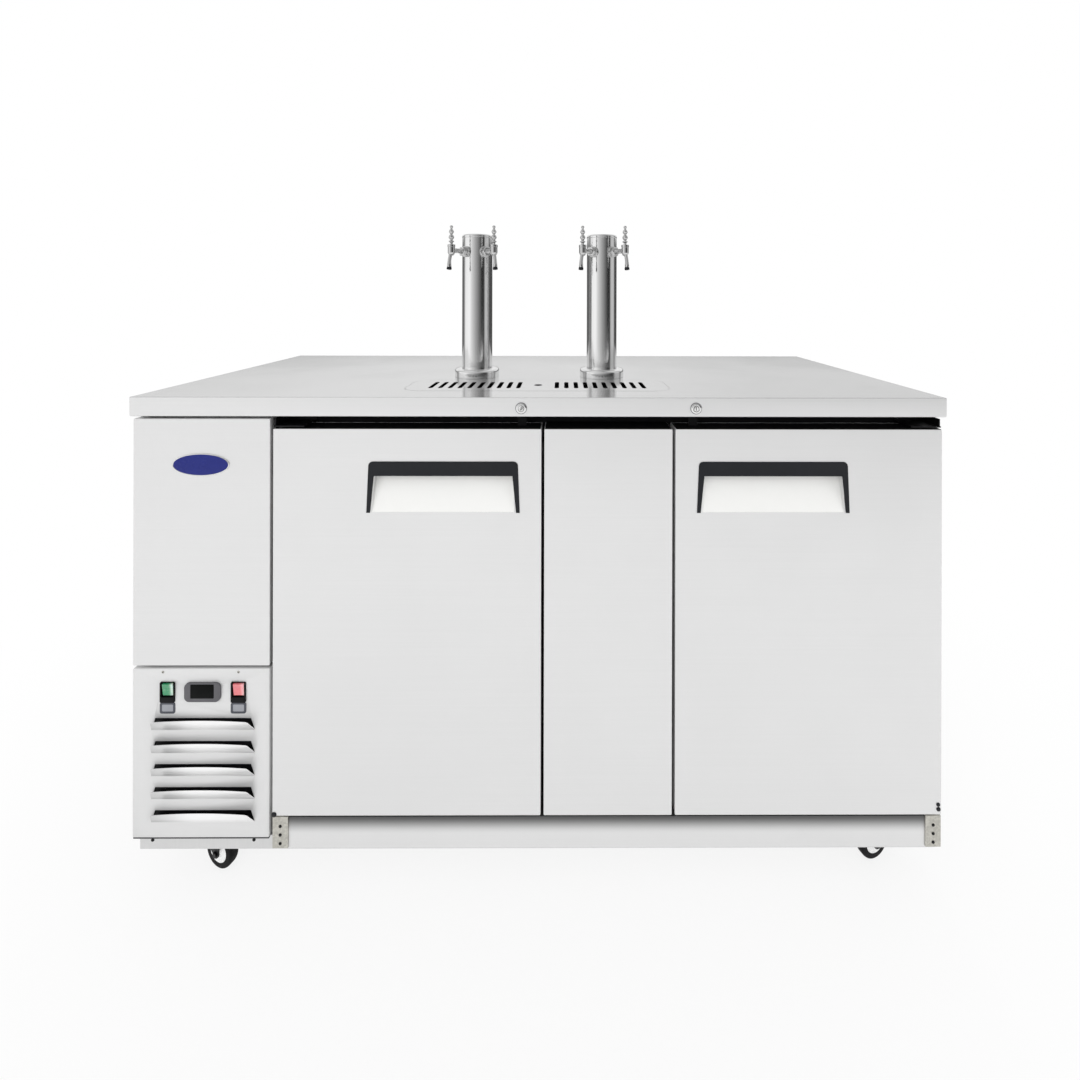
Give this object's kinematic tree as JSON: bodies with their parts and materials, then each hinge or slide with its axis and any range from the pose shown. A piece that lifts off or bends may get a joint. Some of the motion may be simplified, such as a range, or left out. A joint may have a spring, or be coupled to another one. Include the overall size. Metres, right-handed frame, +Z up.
{
  "type": "keg beer dispenser",
  "caption": "Low two-door keg cooler on casters with a machine bay, and two draught towers with faucets over a slotted drain.",
  "frame": {"origin": "on the floor, under the middle of the worktop", "axes": "+X to the right as seen from the front, +Y towards the back, +Z up; the doors face -Y"},
  "size_m": [1.755, 0.724, 1.451],
  "materials": {
    "base_frame": "brushed stainless steel",
    "cabinet_case": "brushed stainless steel",
    "caster_fork_back_left": "black paint",
    "caster_fork_back_right": "black paint",
    "caster_fork_front_left": "black paint",
    "caster_fork_front_right": "black paint",
    "caster_wheel_back_left": "matt black",
    "caster_wheel_back_right": "matt black",
    "caster_wheel_front_left": "matt black",
    "caster_wheel_front_right": "matt black",
    "centre_panel": "brushed stainless steel",
    "compressor": "black paint",
    "condenser": "plain fins and shroud",
    "condenser_fan": "black",
    "controller_housing": "dark grey",
    "door_gasket_left": "matt black",
    "door_gasket_right": "matt black",
    "door_handle_left": "satin black",
    "door_handle_right": "satin black",
    "door_liner_left": "white inner wall on foam",
    "door_liner_right": "white inner wall on foam",
    "door_skin_left": "brushed stainless steel",
    "door_skin_right": "brushed stainless steel",
    "drain_grille": "satin stainless steel",
    "drip_pan": "satin stainless steel",
    "evaporator_fan": "black",
    "evaporator_housing": "white moulded housing",
    "faucet_left_inner": "polished chrome",
    "faucet_left_outer": "polished chrome",
    "faucet_lever_left_inner": "polished chrome",
    "faucet_lever_left_outer": "polished chrome",
    "faucet_lever_right_inner": "polished chrome",
    "faucet_lever_right_outer": "polished chrome",
    "faucet_right_inner": "polished chrome",
    "faucet_right_outer": "polished chrome",
    "front_frame": "brushed stainless steel",
    "handle_pocket_left": "white moulded pocket",
    "handle_pocket_right": "white moulded pocket",
    "insulated_liner": "white inner wall on foam",
    "insulated_liner_top": "white inner wall on foam",
    "kick_plate": "brushed stainless steel",
    "lock_housing_left": "polished nickel",
    "lock_housing_right": "polished nickel",
    "lock_plug_left": "polished nickel",
    "lock_plug_right": "polished nickel",
    "lock_strike_left": "zinc plated",
    "lock_strike_right": "zinc plated",
    "louvre_panel": "brushed stainless steel",
    "lower_hinge_left": "zinc plated",
    "lower_hinge_right": "zinc plated",
    "rocker_left": "translucent green",
    "rocker_right": "translucent red",
    "switch_housing_left": "gloss black",
    "switch_housing_right": "gloss black",
    "tower_column_left": "polished stainless steel",
    "tower_column_right": "polished stainless steel",
    "upper_cover": "brushed stainless steel",
    "upper_hinge_left": "black paint",
    "upper_hinge_right": "black paint",
    "worktop": "satin stainless steel"
  },
  "bodies": {
    "cabinet": {"base_frame": "base_frame", "cabinet_case": "cabinet_case", "centre_panel": "centre_panel", "compressor": "compressor", "condenser": "condenser", "controller_housing": "controller_housing", "drip_pan": "drip_pan", "evaporator_housing": "evaporator_housing", "faucet_left_inner": "faucet_left_inner", "faucet_left_outer": "faucet_left_outer", "faucet_right_inner": "faucet_right_inner", "faucet_right_outer": "faucet_right_outer", "front_frame": "front_frame", "insulated_liner": "insulated_liner", "insulated_liner_top": "insulated_liner_top", "kick_plate": "kick_plate", "lock_housing_left": "lock_housing_left", "lock_housing_right": "lock_housing_right", "louvre_panel": "louvre_panel", "lower_hinge_left": "lower_hinge_left", "lower_hinge_right": "lower_hinge_right", "switch_housing_left": "switch_housing_left", "switch_housing_right": "switch_housing_right", "tower_column_left": "tower_column_left", "tower_column_right": "tower_column_right", "upper_cover": "upper_cover", "upper_hinge_left": "upper_hinge_left", "upper_hinge_right": "upper_hinge_right", "worktop": "worktop"},
    "door_left": {"door_skin_left": "door_skin_left", "door_liner_left": "door_liner_left", "door_gasket_left": "door_gasket_left", "door_handle_left": "door_handle_left", "handle_pocket_left": "handle_pocket_left", "lock_strike_left": "lock_strike_left"},
    "door_right": {"door_skin_right": "door_skin_right", "door_liner_right": "door_liner_right", "door_gasket_right": "door_gasket_right", "door_handle_right": "door_handle_right", "handle_pocket_right": "handle_pocket_right", "lock_strike_right": "lock_strike_right"},
    "grille": {"drain_grille": "drain_grille"},
    "lever_left_outer": {"faucet_lever_left_outer": "faucet_lever_left_outer"},
    "lever_left_inner": {"faucet_lever_left_inner": "faucet_lever_left_inner"},
    "lever_right_inner": {"faucet_lever_right_inner": "faucet_lever_right_inner"},
    "lever_right_outer": {"faucet_lever_right_outer": "faucet_lever_right_outer"},
    "lock_turn_left": {"lock_plug_left": "lock_plug_left"},
    "switch_left": {"rocker_left": "rocker_left"},
    "lock_turn_right": {"lock_plug_right": "lock_plug_right"},
    "switch_right": {"rocker_right": "rocker_right"},
    "condenser_fan_wheel": {"condenser_fan": "condenser_fan"},
    "evaporator_fan_wheel": {"evaporator_fan": "evaporator_fan"},
    "swivel_front_left": {"caster_fork_front_left": "caster_fork_front_left"},
    "wheel_front_left": {"caster_wheel_front_left": "caster_wheel_front_left"},
    "swivel_front_right": {"caster_fork_front_right": "caster_fork_front_right"},
    "wheel_front_right": {"caster_wheel_front_right": "caster_wheel_front_right"},
    "swivel_back_left": {"caster_fork_back_left": "caster_fork_back_left"},
    "wheel_back_left": {"caster_wheel_back_left": "caster_wheel_back_left"},
    "swivel_back_right": {"caster_fork_back_right": "caster_fork_back_right"},
    "wheel_back_right": {"caster_wheel_back_right": "caster_wheel_back_right"}
  },
  "joints": [
    {"name": "door_left_hinge", "type": "hinge", "parent": "cabinet", "child": "door_left", "pos_m": [-0.5565, -0.3425, 0.1554], "axis": [0, 0, -1], "range_deg": [0, 110]},
    {"name": "door_right_hinge", "type": "hinge", "parent": "cabinet", "child": "door_right", "pos_m": [0.854, -0.3425, 0.1554], "axis": [0, 0, 1], "range_deg": [0, 110]},
    {"name": "grille_lift", "type": "slide", "parent": "cabinet", "child": "grille", "axis": [0, 0, 1], "range_m": [0, 0.12]},
    {"name": "lever_left_outer_pull", "type": "hinge", "parent": "cabinet", "child": "lever_left_outer", "pos_m": [-0.23545, -0.14581, 1.395], "axis": [0.8039, -0.5948, 0], "range_deg": [0, 30]},
    {"name": "lever_left_inner_pull", "type": "hinge", "parent": "cabinet", "child": "lever_left_inner", "pos_m": [-0.12695, -0.14581, 1.395], "axis": [0.8039, 0.5948, 0], "range_deg": [0, 30]},
    {"name": "lever_right_inner_pull", "type": "hinge", "parent": "cabinet", "child": "lever_right_inner", "pos_m": [0.09975, -0.14581, 1.395], "axis": [0.8039, -0.5948, 0], "range_deg": [0, 30]},
    {"name": "lever_right_outer_pull", "type": "hinge", "parent": "cabinet", "child": "lever_right_outer", "pos_m": [0.20825, -0.14581, 1.395], "axis": [0.8039, 0.5948, 0], "range_deg": [0, 30]},
    {"name": "lock_left_turn", "type": "hinge", "parent": "cabinet", "child": "lock_turn_left", "pos_m": [-0.039, -0.3575, 1.032], "axis": [0, 1, 0], "range_deg": [0, 90]},
    {"name": "lock_right_turn", "type": "hinge", "parent": "cabinet", "child": "lock_turn_right", "pos_m": [0.3365, -0.3575, 1.032], "axis": [0, 1, 0], "range_deg": [0, 90]},
    {"name": "switch_left_rock", "type": "hinge", "parent": "cabinet", "child": "switch_left", "pos_m": [-0.7947, -0.3515, 0.428], "axis": [-1, 0, 0], "range_deg": [0, 14]},
    {"name": "switch_right_rock", "type": "hinge", "parent": "cabinet", "child": "switch_right", "pos_m": [-0.6433, -0.3515, 0.428], "axis": [-1, 0, 0], "range_deg": [0, 14]},
    {"name": "condenser_fan_spin", "type": "hinge", "parent": "cabinet", "child": "condenser_fan_wheel", "pos_m": [-0.72435, -0.2165, 0.2443], "axis": [0, 1, 0], "continuous": true},
    {"name": "evaporator_fan_spin", "type": "hinge", "parent": "cabinet", "child": "evaporator_fan_wheel", "pos_m": [-0.4234, 0.0375, 0.766], "axis": [-1, 0, 0], "continuous": true},
    {"name": "caster_front_left_swivel", "type": "hinge", "parent": "cabinet", "child": "swivel_front_left", "pos_m": [-0.732, -0.2975, 0.092], "axis": [0, 0, 1], "continuous": true},
    {"name": "caster_front_left_roll", "type": "hinge", "parent": "swivel_front_left", "child": "wheel_front_left", "pos_m": [-0.70851, -0.30605, 0.038], "axis": [-0.342, -0.9397, 0], "continuous": true},
    {"name": "caster_front_right_swivel", "type": "hinge", "parent": "cabinet", "child": "swivel_front_right", "pos_m": [0.732, -0.2975, 0.092], "axis": [0, 0, 1], "continuous": true},
    {"name": "caster_front_right_roll", "type": "hinge", "parent": "swivel_front_right", "child": "wheel_front_right", "pos_m": [0.75578, -0.28977, 0.038], "axis": [0.309, -0.9511, 0], "continuous": true},
    {"name": "caster_back_left_swivel", "type": "hinge", "parent": "cabinet", "child": "swivel_back_left", "pos_m": [-0.732, 0.2935, 0.092], "axis": [0, 0, 1], "continuous": true},
    {"name": "caster_back_left_roll", "type": "hinge", "parent": "swivel_back_left", "child": "wheel_back_left", "pos_m": [-0.75365, 0.306, 0.038], "axis": [0.5, 0.866, 0], "continuous": true},
    {"name": "caster_back_right_swivel", "type": "hinge", "parent": "cabinet", "child": "swivel_back_right", "pos_m": [0.732, 0.2935, 0.092], "axis": [0, 0, 1], "continuous": true},
    {"name": "caster_back_right_roll", "type": "hinge", "parent": "swivel_back_right", "child": "wheel_back_right", "pos_m": [0.7445, 0.31515, 0.038], "axis": [0.866, -0.5, 0], "continuous": true}
  ]
}
